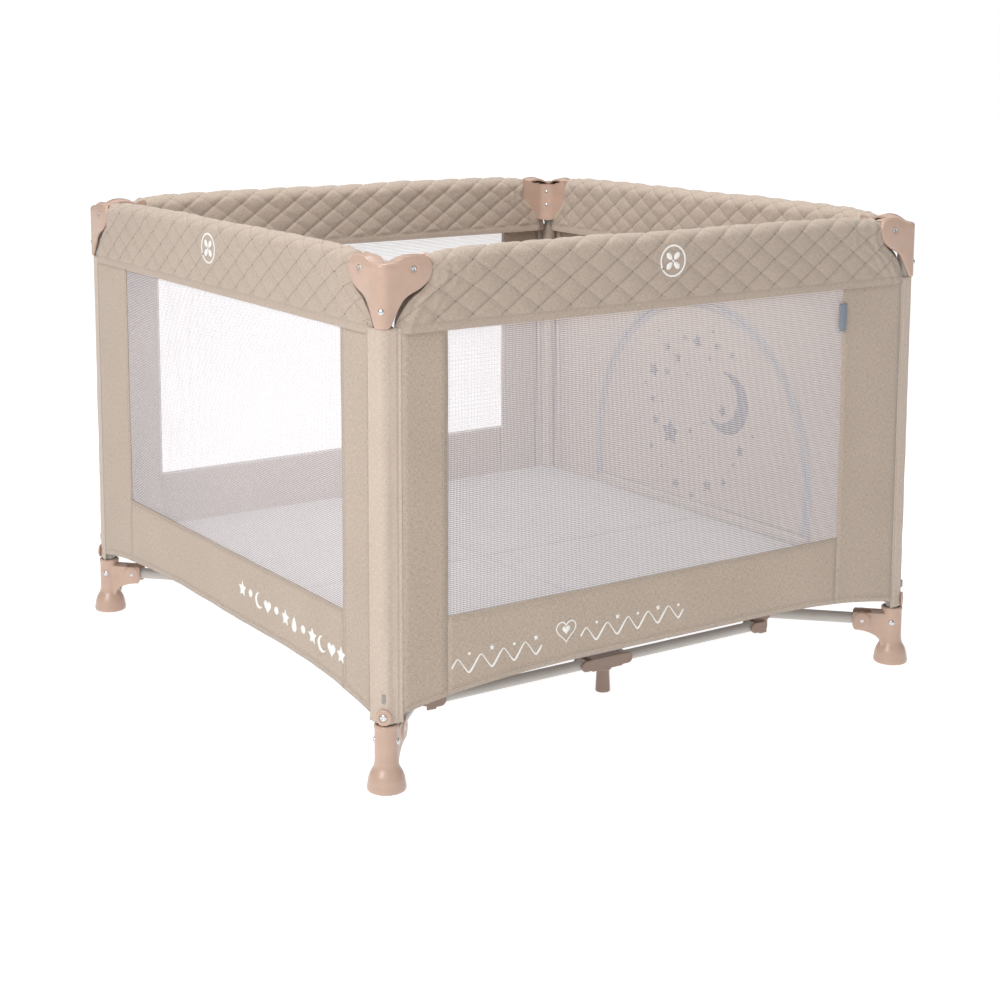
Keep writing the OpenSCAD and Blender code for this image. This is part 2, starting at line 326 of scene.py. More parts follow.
# the sleeves' linen is the walls' linen made lighter: painted light where the round sleeves face
# the lamps
LINEN_PAINTED_LIT = woven("linen_sleeve", (199, 183, 169), 0.13)
PAD = woven("pad_cloth", (162, 155, 153), 0.06, roughness=0.85)
TAPE = woven("zip_tape", (164, 157, 156), 0.08, pitch=0.6)
THREAD = woven("thread", (212, 198, 184), 0.05, pitch=0.4)
DOT = woven("dark_thread", (128, 112, 98), 0.08, pitch=0.4)
LABEL = woven("label", (128, 138, 150), 0.05, pitch=0.5)
NET = netting("net", (250, 245, 250))
PLASTIC = moulded("plastic_beige", (190, 161, 144))
PLASTIC_DARK = moulded("plastic_brown", (154, 130, 116), 0.4)
ZIP = moulded("zip_teeth", (112, 110, 118), 0.4)
WHITE_TUBE = powder_coated("powder_white", (190, 184, 178))
CHROME = metal("chrome", (215, 216, 218))
PRINT = ink("print_white", (244, 242, 238))
PRINT_GREY = ink("print_grey", (120, 114, 116))

# ---- mesh tools ------------------------------------------------------------


def mesh_of(name, verts, faces, uv=None):
    """A mesh from points in mm; uv is one pair per point, in mm."""
    me = bpy.data.meshes.new(name)
    points = (np.asarray(verts, float) * MM).tolist()
    me.from_pydata(points, [], [tuple(map(int, f)) for f in faces])
    if uv is not None:
        index = np.empty(len(me.loops), int)
        me.loops.foreach_get("vertex_index", index)
        layer = me.uv_layers.new(name="cloth")
        layer.data.foreach_set("uv", (np.asarray(uv, float)[index] * MM).ravel())
    me.polygons.foreach_set("use_smooth", [True] * len(me.polygons))
    me.update()
    return me


def closed_mesh(*args):
    """A mesh whose normals all point outward."""
    me = mesh_of(*args)
    b = bmesh.new()
    b.from_mesh(me)
    bmesh.ops.recalc_face_normals(b, faces=b.faces)
    b.to_mesh(me)
    b.free()
    return me


def linked(name, me):
    o = bpy.data.objects.new(name, me)
    bpy.context.scene.collection.objects.link(o)
    return o


def obj_of(name, me, mat, turn=0):
    """An object of a copy of the mesh, turned by quarter turns about the middle of the pen."""
    me = me.copy()
    me.transform(Matrix.Rotation(math.radians(90 * turn), 4, "Z"))
    me.name = name
    me.materials.clear()
    me.materials.append(mat)
    return linked(name, me)


def piece(name, parts, mat, turn):
    return obj_of(name, closed_mesh(name, *joined(parts)), mat, turn)


def fused(me, voxel, rounds):
    """The mesh remade as one moulding with soft edges; voxel is in mm."""
    o = linked("fused", me)
    r = o.modifiers.new("fuse", "REMESH")
    r.mode, r.voxel_size, r.use_smooth_shade = "VOXEL", voxel * MM, True
    s = o.modifiers.new("soften", "SMOOTH")
    s.factor, s.iterations = 0.5, rounds
    graph = bpy.context.evaluated_depsgraph_get()
    me = bpy.data.meshes.new_from_object(o.evaluated_get(graph))
    bpy.data.objects.remove(o)
    return me


def remeshed(name, parts, voxel, rounds):
    """Overlapping closed parts fused into one."""
    v, f, _ = joined(parts)
    return fused(closed_mesh(name, v, f), voxel, rounds)


def sharp(o, degrees):
    o.data.set_sharp_from_angle(angle=math.radians(degrees))


def grid_faces(nu, nv):
    """Faces of a grid of (nu + 1) x (nv + 1) points."""
    i, j = np.meshgrid(np.arange(nu), np.arange(nv), indexing="ij")
    a = (i * (nv + 1) + j).ravel()
    return np.stack([a, a + nv + 1, a + nv + 2, a + 1], 1)


def thickened(verts, faces, uv, normal, thick):
    """A closed sheet: the points, a copy behind them, and a rim."""
    verts, normal = np.asarray(verts, float), np.asarray(normal, float)
    faces = [list(map(int, f)) for f in faces]
    n = len(verts)
    edges = dict.fromkeys((a, b) for f in faces for a, b in zip(f, f[1:] + f[:1]))
    back = [[v + n for v in reversed(f)] for f in faces]
    sides = [[b, a, a + n, b + n] for a, b in edges if (b, a) not in edges]
    points = np.concatenate([verts, verts - normal * thick])
    return points, faces + back + sides, np.concatenate([uv, uv])


def fill2d(outline, holes=(), pitch=6.0, extra=()):
    """Triangles of a flat shape with holes, with points about pitch apart."""
    loops = [np.asarray(outline, float)] + [np.asarray(h, float) for h in holes]
    pts, edges = [], []
    for loop in loops:
        at, n = len(pts), len(loop)
        pts += [tuple(p) for p in loop]
        edges += [(at + k, at + (k + 1) % n) for k in range(n)]
    low, high = loops[0].min(0), loops[0].max(0)
    gx, gz = (np.arange(low[k] + pitch / 2, high[k], pitch) for k in (0, 1))
    for k, x in enumerate(gx):
        for z in gz + (pitch / 2 if k % 2 else 0):
            if inside((x, z), loops, pitch * 0.45):
                pts.append((x, z))
    pts += [tuple(p) for p in extra]
    out = geometry.delaunay_2d_cdt([Vector(p) for p in pts], edges, [], 1, 1e-5)
    v = np.array([tuple(p) for p in out[0]])
    return v, [list(f) for f in out[2] if inside(v[list(f)].mean(0), loops, 0)]


def inside(p, loops, margin):
    """Whether p is in the first loop, outside the others, and margin from all their edges."""
    x, z = p
    for k, loop in enumerate(loops):
        a, b = loop, np.roll(loop, -1, 0)
        cross = (a[:, 1] > z) != (b[:, 1] > z)
        with np.errstate(divide="ignore", invalid="ignore"):
            at = (b[:, 0] - a[:, 0]) * (z - a[:, 1]) / (b[:, 1] - a[:, 1]) + a[:, 0]
        hit = np.count_nonzero(cross & (x < at)) % 2 == 1
        if hit == (k > 0):
            return False
        if margin > 0 and edge_distance(np.array([[x, z]]), loop)[0] < margin:
            return False
    return True


def edge_distance(p, loop):
    """Distance from each point to a closed outline."""
    a, b = loop, np.roll(loop, -1, 0)
    d = b - a
    best = np.full(len(p), 1e9)
    for k in range(len(a)):
        t = np.clip(((p - a[k]) @ d[k]) / max(d[k] @ d[k], 1e-12), 0, 1)
        best = np.minimum(best, np.linalg.norm(p - a[k] - t[:, None] * d[k], axis=1))
    return best


def spline(points, per=6, closed=True):
    """Catmull-Rom through the points."""
    p = np.asarray(points, float)
    n = len(p)
    out = []
    for k in range(n if closed else n - 1):
        a, b, c, d = (
            p[(k + s) % n] if closed else p[min(max(k + s, 0), n - 1)] for s in (-1, 0, 1, 2)
        )
        for t in np.arange(per) / per:
            square = (2 * a - 5 * b + 4 * c - d) * t * t
            out.append(0.5 * ((2 * b) + (c - a) * t + square + (3 * b - a - 3 * c + d) * t**3))
    if not closed:
        out.append(p[-1])
    return np.array(out)


def circle2d(cx, cz, r, n=20):
    t = np.arange(n) * 2 * math.pi / n
    return np.stack([cx + r * np.cos(t), cz + r * np.sin(t)], 1)


def unit(v):
    return v / np.maximum(np.linalg.norm(v, axis=-1, keepdims=True), 1e-9)


def run_of(p):
    """Length along a line of points, at each of them."""
    return np.concatenate([[0], np.cumsum(np.linalg.norm(np.diff(p, axis=0), axis=1))])


def walk(p, run, at):
    """Points at given lengths along a line."""
    return np.stack([np.interp(at, run, p[:, k]) for k in range(p.shape[1])], -1)


class Path:
    """A plan path with its normals turned outward: s in mm from its middle."""

    def __init__(self, points):
        self.p = np.asarray(points, float)
        self.s = run_of(self.p)
        self.s -= self.s[-1] / 2
        t = unit(np.gradient(self.p, axis=0))
        self.n = np.stack([t[:, 1], -t[:, 0]], 1)

    def at(self, s):
        return walk(self.p, self.s, s), unit(walk(self.n, self.s, s))


def corner_path(r, reach):
    """From the left face round the corner to the front face, r from the post's axis."""
    arc = np.radians(np.linspace(180, 270, 31))
    p = [(-r, reach)] + [(-r, y) for y in np.linspace(reach, 0, 12)[1:-1]]
    p += [(r * math.cos(a), r * math.sin(a)) for a in arc]
    p += [(x, -r) for x in np.linspace(0, reach, 12)[1:-1]] + [(reach, -r)]
    return Path(p)


def rough(x, z, length, seed):
    """Smooth noise in -1..1 at points (x, z), with swells about length apart."""
    x, z = np.broadcast_arrays(x, z)
    scale = 1 / length
    points = zip((x * scale).ravel(), (z * scale).ravel())
    return np.array([noise.noise(Vector((a, b, seed))) for a, b in points]).reshape(x.shape)


def smoothstep(t):
    t = np.clip(t, 0, 1)
    return t * t * (3 - 2 * t)


def hump(d, width, power=2):
    """A smooth hump of height 1 at d = 0."""
    return np.exp(-((d / width) ** power))


def skin(rings):
    """A closed skin over rings of equal point counts."""
    rings = np.asarray(rings, float)
    m, n = rings.shape[:2]
    faces = [
        (k * n + j, k * n + (j + 1) % n, (k + 1) * n + (j + 1) % n, (k + 1) * n + j)
        for k in range(m - 1) for j in range(n)
    ]
    ends = [tuple(range(n))[::-1], tuple((m - 1) * n + j for j in range(n))]
    return rings.reshape(-1, 3), faces + ends


def tube_mesh(points, r, sides):
    """A tube along 3-D points, with a radius at each."""
    p = np.asarray(points, float)
    t = unit(np.gradient(p, axis=0))
    up = np.where(np.abs(t[:, 2:3]) > 0.9, [[1.0, 0, 0]], [[0, 0, 1.0]])
    a = unit(np.cross(t, up))
    b = np.cross(t, a)
    ang = np.arange(sides) * 2 * math.pi / sides
    around = np.cos(ang)[None, :, None] * a[:, None] + np.sin(ang)[None, :, None] * b[:, None]
    return skin(p[:, None] + np.asarray(r)[:, None, None] * around)


def joined(parts):
    """One list of points and faces from several; a part may carry uv."""
    v, f, uv, at = [], [], [], 0
    for part in parts:
        v.append(np.asarray(part[0], float))
        f += [tuple(int(x) + at for x in face) for face in part[1]]
        uv.append(part[2] if len(part) > 2 else v[-1][:, [0, 2]])
        at += len(part[0])
    return np.concatenate(v), f, np.concatenate(uv)


def lathe(profile, sides=48):
    """Turns a profile of (radius, z) about the z axis."""
    p = np.asarray(profile, float)
    ang = np.radians(np.arange(sides) * 360 / sides)
    x, y = np.outer(p[:, 0], np.cos(ang)), np.outer(p[:, 0], np.sin(ang))
    return skin(np.stack([x, y, np.outer(p[:, 1], np.ones(sides))], -1))


def dome(r, h, hole=0.0):
    """A rivet's head, from its rim to its top; with a hole it is a hollow rivet's rolled lip."""
    w = (r - hole) / 2 if hole else r
    t = np.radians(np.linspace(0, 180, 9) if hole else np.linspace(0, 88, 7))
    prof = [(r, -1.0)] + [(r - w + w * math.cos(a), h * math.sin(a)) for a in t]
    return lathe(prof + ([(hole, -1.5), (0.01, -1.5)] if hole else []), 20)


def placed(part, at, axis):
    """Turns a part made along z so that z points along axis, and moves it."""
    q = Vector((0, 0, 1)).rotation_difference(Vector(axis).normalized()).to_matrix()
    return np.asarray(part[0], float) @ np.array(q).T + np.asarray(at, float), part[1]


def corner_at(verts):
    """From a post's own frame to the front left post."""
    return np.asarray(verts, float) + [-HALF, -HALF, 0]


def along(i):
    """The direction of side i, from its own post to the next."""
    a = math.radians(90 * i)
    return (math.cos(a), math.sin(a), 0.0)


def rides(o, body):
    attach(o, body)
    return o


def on_corner(o, i):
    return rides(o, f"corner_{CORNERS[i]}")


def gathers(o):
    """Gives the cloth a mesh of its own."""
    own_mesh(o)
    return o


def on_wall(o, i):
    return gathers(on_corner(o, i))


def on_door(o):
    return gathers(rides(o, "door_panel"))


# ---- corner caps -----------------------------------------------------------

# half of the outer cap's outline: mm from the post's axis, and height
CAP_EDGE = [(0, 621.5), (3, 625), (5.1, 629), (8.5, 635.5), (12.3, 642), (17, 650), (21.8, 656.5),
            (28, 661.5), (36, 665.5), (44.4, 669), (53, 674.5), (60, 681), (64, 688.5),
            (65.5, 697), (64, 705), (60, 711), (50, 714.5), (40, 715.6), (32, 715.3),
            (24, 713.5), (15, 709.5), (6, 706.5)]
INNER_EDGE = [(0, 635), (6, 635.5), (14, 638.5), (22, 643.5), (31, 652), (41, 662.5), (51, 674),
              (59, 686.5), (61, 696), (58, 705), (51, 711), (41, 713), (31, 711.5), (21, 708),
              (10, 705.5), (4, 704.5)]
CAP_R = 15.4
CAP_TURN = CAP_R * math.pi / 4
# a plate's rounded edge: distance from the edge, and drop, in mm
RIMS = [(0, 3.6), (0.35, 2.2), (0.9, 1.15), (1.8, 0.4), (3.0, 0.05), (4.2, 0.0)]


def cap_outline(edge, turn):
    right = [(x + turn if x > 0.5 else turn * 0.9, z) for x, z in edge]
    left = [(-x, z) for x, z in reversed(right)]
    return spline([(0, edge[0][1] - 1.0)] + right + [(0, edge[-1][1] - 0.2)] + left, per=4)


def moulded_plate(loop, holes, path, thick, pitch, crown):
    """A plate bent along a plan path, swollen by crown, with its edge rounded as in RIMS."""
    d = np.roll(loop, -1, 0) - np.roll(loop, 1, 0)
    n = unit(np.stack([-d[:, 1], d[:, 0]], 1))
    x, z = loop.T
    n *= 1 if np.sum(x * np.roll(z, -1) - np.roll(x, -1) * z) > 0 else -1
    insets = [p for r, _ in RIMS[1:] for p in (loop + n * r)[:: 1 if r < 2 else 2]]
    insets = [p for p in insets if inside(p, [loop] + list(holes), 0.35)]
    v2, tri = fill2d(loop, holes, pitch, insets)
    drop = np.interp(edge_distance(v2, loop), *np.array(RIMS).T)
    for h in holes:
        drop = np.maximum(drop, np.interp(edge_distance(v2, h), [0, 0.6, 1.4], [0.9, 0.25, 0]))
    p, n = path.at(v2[:, 0])
    verts = np.column_stack([p + n * (crown(v2) - drop)[:, None], v2[:, 1]])
    v, f, uv = thickened(verts, tri, v2, np.column_stack([n, np.zeros(len(n))]), 1.0)
    v[len(verts):] = np.column_stack([p - n * thick, v2[:, 1]])
    return v, f, uv


def cap_crown(v2):
    """The lobes swell a little, and lean back at the top."""
    s, z = v2[:, 0], v2[:, 1]
    lobe = np.exp(-(((np.abs(s) - 52) / 26) ** 2 + ((z - 692) / 24) ** 2))
    return 1.8 * lobe - smoothstep((z - 700) / 18) * 3.0


def roof(path):
    """A thin bent strip over the tubes' ends, from the plate's top edge to the inner cap."""
    s = np.linspace(-70, 70, 71)
    upper = [(-CAP_TURN, 706)] + CAP_EDGE[:12:-1]
    z = np.interp(np.abs(s), *np.array([(max(x + CAP_TURN, 0), z) for x, z in upper]).T)
    p, n = path.at(s)
    levels = (1.2, 1.0), (6, 0.4), (13, 0.6), (20, 1.4), (26, 3.2)
    top = np.concatenate([np.column_stack([p - n * depth, z - fall]) for depth, fall in levels])
    m = len(s)
    faces = [(a * m + k, a * m + k + 1, (a + 1) * m + k + 1, (a + 1) * m + k)
             for a in range(len(levels) - 1) for k in range(m - 1)]
    return thickened(top, faces, top[:, :2], [0, 0, 1.0], 2.6)


def cap_mesh():
    path = corner_path(CAP_R, 70)
    holes = [circle2d(s * (CAP_PIVOT + CAP_TURN), RAIL_Z, 4.4) for s in (-1, 1)]
    plate = moulded_plate(cap_outline(CAP_EDGE, CAP_TURN), holes, path, 3.6, 3.2, cap_crown)
    return closed_mesh("cap", *joined([plate, roof(path)]))


def inner_path():
    """From the front side's inner face round to the left side's, facing the pen's middle."""
    out, cut, far = 15.5, 33.0, 76
    p = [(out, y) for y in np.linspace(far, cut, 14)]
    p += [(out + (cut - out) * t, cut - (cut - out) * t) for t in np.linspace(0, 1, 13)[1:-1]]
    p += [(x, out) for x in np.linspace(cut, far, 14)]
    p = np.array(p)
    for _ in range(6):
        p[1:-1] = 0.25 * p[:-2] + 0.5 * p[1:-1] + 0.25 * p[2:]
    return Path(p)


def inner_crown(v2):
    """Ridges on the narrow middle, and a swelling on each lobe."""
    s, z = v2[:, 0], v2[:, 1]
    ridges = 0.55 * np.cos(s * 2 * math.pi / 8.5) * hump(s, 13, 4)
    ridges = ridges * smoothstep((z - 640) / 12) * smoothstep((702 - z) / 10)
    return ridges + hump(np.abs(s) - 44, 20)


def inner_cap_mesh():
    outline = cap_outline(INNER_EDGE, 17.5 * DIAG)
    plate = moulded_plate(outline, [], inner_path(), 2.8, 2.6, inner_crown)
    return closed_mesh("inner_cap", *plate)


def rivet_set():
    """The chrome rivets of one corner, at rest in the post's own frame."""
    parts = []
    for x, y, way in ((CAP_PIVOT, -CAP_R, (0, -1, 0)), (-CAP_R, CAP_PIVOT, (-1, 0, 0))):
        at = np.array([x, y, RAIL_Z]) - 0.6 * np.array(way)
        parts.append(placed(dome(4.1, 1.2, 2.0), at, way))
    r = (CAP_R + 0.1) * DIAG
    parts.append(placed(dome(4.2, 2.0), (-r, -r, 644.0), (-DIAG, -DIAG, 0)))
    for h in (RAIL_Z - 8, RAIL_Z - 34):
        parts.append(placed(dome(4.3, 2.1), (25.2, 25.2, h), (DIAG, DIAG, 0)))
    # foot: through the column, and the tube's pivot
    pivot = np.array([FOOT_PIVOT * DIAG, FOOT_PIVOT * DIAG, BASE_Z])
    disc = lathe([(0.01, 0), (6.6, 0), (6.6, 0.7), (6.0, 1.1), (0.01, 1.1)], 24)
    for s in (-1, 1):
        side = np.array([DIAG * s, -DIAG * s, 0])
        parts.append(placed(dome(4.6, 2.0), side * 16.2 + [0, 0, BASE_Z], side))
        parts.append(placed(dome(4.6, 2.0), pivot + side * 13.6, side))
        parts.append(placed(disc, pivot + side * 13.2, side))
    return closed_mesh("rivets", *joined(parts)[:2])


# ---- feet ------------------------------------------------------------------


def block(x0, x1, y0, y1, z0, z1):
    v = [(x, y, z) for x in (x0, x1) for y in (y0, y1) for z in (z0, z1)]
    f = [(0, 1, 3, 2), (4, 6, 7, 5), (0, 4, 5, 1), (2, 3, 7, 6), (0, 2, 6, 4), (1, 5, 7, 3)]
    return np.array(v, float), f


def slanted(part):
    """Turns a part from the x axis to the pen's diagonal."""
    m = np.array([[DIAG, -DIAG, 0], [DIAG, DIAG, 0], [0, 0, 1]])
    return np.asarray(part[0], float) @ m.T, part[1]


def arm_cheek(y0, y1):
    """One side of the arm that holds the diagonal tube, with its quarter-curve underside."""
    top, low, end = BASE_Z + 13.5, BASE_Z - 13.0, FOOT_PIVOT + 14.5
    pts = [(10, top), (end - 3, top), (end, top - 3), (end + 0.5, low + 5), (end - 2, low - 1)]
    for a in np.radians(np.linspace(0, 90, 11)):
        pts.append((end - 4 - (end - 20) * math.sin(a), 30 + (low - 33) * math.cos(a)))
    pts.append((12, 30))
    return skin([[(x, y, z) for x, z in pts] for y in (y0, y1)])


def foot_mesh():
    """Bell, neck and column, with two cheeks, a web between them and a lip at the pivot."""
    bell = [(0.01, 0), (25.6, 0), (26.5, 1.2), (26.5, 6.5), (25.9, 8), (25.5, 11.5), (24.6, 17),
            (22.6, 23), (19.9, 28), (17.7, 32), (16.5, 36.5), (16.0, 43), (15.9, 84), (16.7, 86),
            (16.7, 90), (15.8, 91), (12.4, 91), (12.4, 40), (0.01, 40)]
    arm = [arm_cheek(-13.4, -9.4), arm_cheek(9.4, 13.4)]
    arm.append(block(10, FOOT_PIVOT - 14, -11, 11, BASE_Z - 13, BASE_Z + 12.5))
    lip = lathe([(0.01, 0), (13.6, 0), (13.6, 1.6), (12.6, 2.2), (0.01, 2.2)], 32)
    arm += [placed(lip, (FOOT_PIVOT, y, BASE_Z), (0, 1, 0)) for y in (-15.2, 13.0)]
    parts = [lathe(bell, 56)] + [slanted(p) for p in arm]
    return remeshed("foot", parts, 1.15, 3)


# ---- put the hard parts in -------------------------------------------------

washer = lathe([(0.01, 0), (9.5, 0), (11, 0.8), (11, 2.4), (9.8, 3.4), (6.2, 3.6), (5.6, 2.4),
                (0.01, 2.4)], 36)
screw = lathe([(0.01, 0), (4.6, 0), (4.6, 1.3), (3.6, 2.1), (1.9, 2.2), (1.7, 1.2),
               (0.01, 1.2)], 24)
out_dir = np.array([-DIAG, -DIAG, 0.0])
# at the sleeve's lower end
washer_at = out_dir * 13.0 + [0, 0, 103.5]

hard_parts = [
    (cap_mesh(), "cap_outer", PLASTIC, "outer_cap", "plastic"),
    (inner_cap_mesh(), "cap_inner", PLASTIC, "inner_cap", "plastic"),
    (rivet_set(), "rivet_heads", CHROME, "rivets", "chrome"),
    (foot_mesh(), "foot_moulding", PLASTIC, "foot", "plastic"),
]
for base, *_ in hard_parts:
    base.transform(Matrix.Translation((-HALF * MM, -HALF * MM, 0)))

for i, corner in enumerate(CORNERS):
    for base, name, mat, node, slot in hard_parts:
        o = on_corner(obj_of(f"{corner}_{name}", base, mat, i), i)
        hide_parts(f"{corner}_{node}")
        if node != "foot":
            sharp(o, 40)
    for part, name, mat, slot, lift in (
        (washer, "washer", PLASTIC, "plastic", 0.0), (screw, "screw", CHROME, "chrome", 2.3),
    ):
        v, f = placed(part, washer_at + out_dir * lift, out_dir)
        me = closed_mesh(name, corner_at(v), f)
        sharp(on_corner(obj_of(f"{corner}_{name}", me, mat, i), i), 40)

# the CAD's own saddles, legs and hub with their edges softened
for node, voxel, rounds in (
    [(f"{corner}_saddle", 1.1, 4) for corner in CORNERS]
    + [("front_middle_leg", 1.0, 3), ("back_middle_leg", 1.0, 3), ("centre_hub", 1.5, 4)]
):
    me = fused(NODES[node].data.copy(), voxel, rounds)
    o = rides(obj_of(f"{node}_moulding", me, PLASTIC_DARK), node)
    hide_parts(node)

# the CAD parts' own colours: the first word that is found in a node's name decides
NODE_MATS = [(WHITE_TUBE, ("post", "rail", "base_tube", "cross")),
             (PLASTIC_DARK, ("latch", "button")), (CHROME, ("rivets",)),
             (PLASTIC, ("cap", "foot", "saddle", "leg", "hub")), (LINEN, ("",))]
for name, node in NODES.items():
    node.data.materials.clear()
    node.data.materials.append(
        next(mat for mat, words in NODE_MATS if any(w in name for w in words)))

# ---- walls -----------------------------------------------------------------

CLOTH = 1.1
step = 9.0


def wall_out(x, z):
    """How far the wall's outer face lies from the posts' axis plane, with slack ripples."""
    x, z = np.broadcast_arrays(np.asarray(x, float), np.asarray(z, float))
    ripple = rough(x, z * 0.45, 55.0, 3.0) * 1.1 + rough(x, z * 0.45, 22.0, 9.0) * 0.35
    free = smoothstep((430 - np.abs(x)) / 60) * 0.7 + 0.3
    hem = smoothstep((200 - z) / 90) * 1.3 * np.sin(x / 61.0 + 0.4)
    return 14.4 + ripple * free + hem * free


def on_face(x, z, lift=0.0):
    """Points at x along the wall and height z, lifted off its outer face."""
    x, z = np.broadcast_arrays(np.asarray(x, float), np.asarray(z, float))
    return np.stack([x, -HALF - (wall_out(x, z) + lift), z], -1)


def skirt_low(x):
    """Height of the skirt's hem: it dips to each post."""
    return SKIRT_MID - (SKIRT_MID - SKIRT_POST) * (np.abs(x) / EDGE) ** 4


def wall_patch(x0, x1, z1, lip):
    """A piece of the wall's cloth from the hem up to z1, raised by lip(x, z)."""
    nu = max(2, int(abs(x1 - x0) / step))
    nv = max(2, int(abs(z1 - SKIRT_MID) / step))
    x = x0 + (x1 - x0) * np.linspace(0, 1, nu + 1)[:, None] + np.zeros((1, nv + 1))
    low = skirt_low(x)
    z = low + (z1 - low) * np.linspace(0, 1, nv + 1)[None]
    v = on_face(x, z, lip(x, z)).reshape(-1, 3)
    return thickened(v, grid_faces(nu, nv), v[:, [0, 2]], OUTWARD, CLOTH)


def dashes(points, length=3.0, gap=1.3, r=0.33):
    """A row of stitches along a line on the wall, each a small dash that dips at its ends."""
    run = run_of(points)
    parts = []
    for a in np.arange(0, run[-1] - length, length + gap):
        at = walk(points, run, [a, a + length * 0.2, a + length * 0.8, a + length])
        at[1:3] += np.array(OUTWARD) * 0.42
        parts.append(tube_mesh(at, [r * 0.6, r, r, r * 0.6], 5))
    return parts


def line_on_wall(x0, z0, x1, z1, n=60):
    t = np.linspace(0, 1, n)
    return on_face(x0 + (x1 - x0) * t, z0 + (z1 - z0) * t, 0.1)


def wall_cloth(i):
    """The woven part of side i round its window, with a piped lip at the window's edges."""
    left, right = WINDOWS[i]

    def lip(x, z):
        beyond = np.maximum(left - x, x - right)
        level = 0.8 * hump(np.abs(z - WIN_LOW) - 3.5, 3.5) * (beyond < 8)
        return np.maximum(0.8 * hump(np.abs(beyond) - 3.5, 3.5), level)

    return [wall_patch(-EDGE, left, WALL_TOP, lip), wall_patch(right, EDGE, WALL_TOP, lip),
            wall_patch(left, right, WIN_LOW, lip)]


def net_mesh(left, right):
    """The net, held behind the window's edges."""
    nu, nv = 40, 24
    x, z = np.meshgrid(np.linspace(left - 4, right + 4, nu + 1),
                       np.linspace(WIN_LOW - 4, WALL_TOP, nv + 1), indexing="ij")
    v = on_face(x, z, -1.3).reshape(-1, 3)
    return mesh_of("net", v, grid_faces(nu, nv), v[:, [0, 2]])


for i, side in enumerate(SIDES):
    # stitching on the outside: along the window and the hem
    lines = []
    if i != 1:
        o = on_wall(piece(f"{side}_wall_cloth", wall_cloth(i), LINEN, i), i)
        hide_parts(f"{side}_wall")
        left, right = WINDOWS[i]
        net = on_wall(obj_of(f"{side}_net", net_mesh(left, right), NET, i), i)
        for x in (left - 6.5, right + 6.5):
            lines.append(line_on_wall(x, float(skirt_low(x)) + 11, x, 612))
        lines.append(line_on_wall(left - 4, WIN_LOW - 6.5, right + 4, WIN_LOW - 6.5, n=160))
    t = np.linspace(-EDGE + 2, EDGE - 2, 240)
    lines += [on_face(t, skirt_low(t) + rise, 0.1) for rise in (6.0, 9.0)]
    stitches = [d for line in lines for d in dashes(line)]
    on_wall(piece(f"{side}_stitching", stitches, THREAD, i), i)

# ---- the door side ---------------------------------------------------------


def arch(r, low, n=72):
    """The arch's outline, from its left foot over the top to its right foot, as (x, z)."""
    spring = DOOR_TOP - DOOR_R
    pts = [(DOOR_MID - r, z) for z in np.linspace(low, spring, 8)[:-1]]
    for t in np.radians(np.linspace(180, 0, n)):
        pts.append((DOOR_MID + r * math.cos(t), spring + r * math.sin(t)))
    pts += [(DOOR_MID + r, z) for z in np.linspace(spring, low, 8)[1:]]
    return np.array(pts)


def flat_cloth(outline, holes):
    v2, tri = fill2d(outline, holes, 14.0)
    return thickened(on_face(*v2.T), tri, v2, OUTWARD, CLOTH)


xs = np.linspace(-EDGE, EDGE, 90)
zs = np.linspace(100, WALL_TOP, 50)[1:-1]
outer = np.concatenate([
    np.stack([xs, skirt_low(xs)], 1), [[EDGE, z] for z in zs],
    [[x, WALL_TOP] for x in xs[::-1]], [[-EDGE, z] for z in zs[::-1]]])
door_wall = [flat_cloth(outer, [arch(DOOR_R, DOOR_LOW - 0.5)])]
o = on_wall(piece("right_wall_cloth", door_wall, LINEN, 1), 1)
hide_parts("right_wall")

door = [flat_cloth(arch(DOOR_R - 1.2, DOOR_LOW), [])]
o = on_door(piece("door_cloth", door, LINEN, 1))
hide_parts("door_panel")


def faced(inner_side):
    """How far a face of the cloth lies inside its outer face, and which way it looks."""
    return (CLOTH, -1) if inner_side else (0, 1)


def band(line, width, inner_side, round_out):
    """A tape along a line of (x, z), centred on it, on the outer or inner face of the wall."""
    n = unit(np.gradient(line, axis=0)) @ np.array([[0, 1], [-1, 0]])
    cols = np.linspace(-0.5, 0.5, 5)
    x, z = (line[:, None] + n[:, None] * (cols * width)[None, :, None]).reshape(-1, 2).T
    swell = round_out * (1 - (2 * np.tile(cols, len(line))) ** 2)
    depth, way = faced(inner_side)
    uv = np.stack([np.repeat(run_of(line), 5), np.tile(cols * width, len(line))], 1)
    normal = np.array(OUTWARD) * way
    return thickened(on_face(x, z, way * (0.5 + swell) - depth),
                     grid_faces(len(line) - 1, 4), uv, normal, 0.7)


for inner_side, word in ((False, "outside"), (True, "inside")):
    fixed = band(arch(DOOR_R + 6, DOOR_LOW - 4), 10.5, inner_side, 0.5)
    on_wall(piece(f"zip_tape_wall_{word}", [fixed], TAPE, 1), 1)
    moving = band(arch(DOOR_R - 6.3, DOOR_LOW + 1), 9.5, inner_side, 0.3)
    on_door(piece(f"zip_tape_door_{word}", [moving], TAPE, 1))

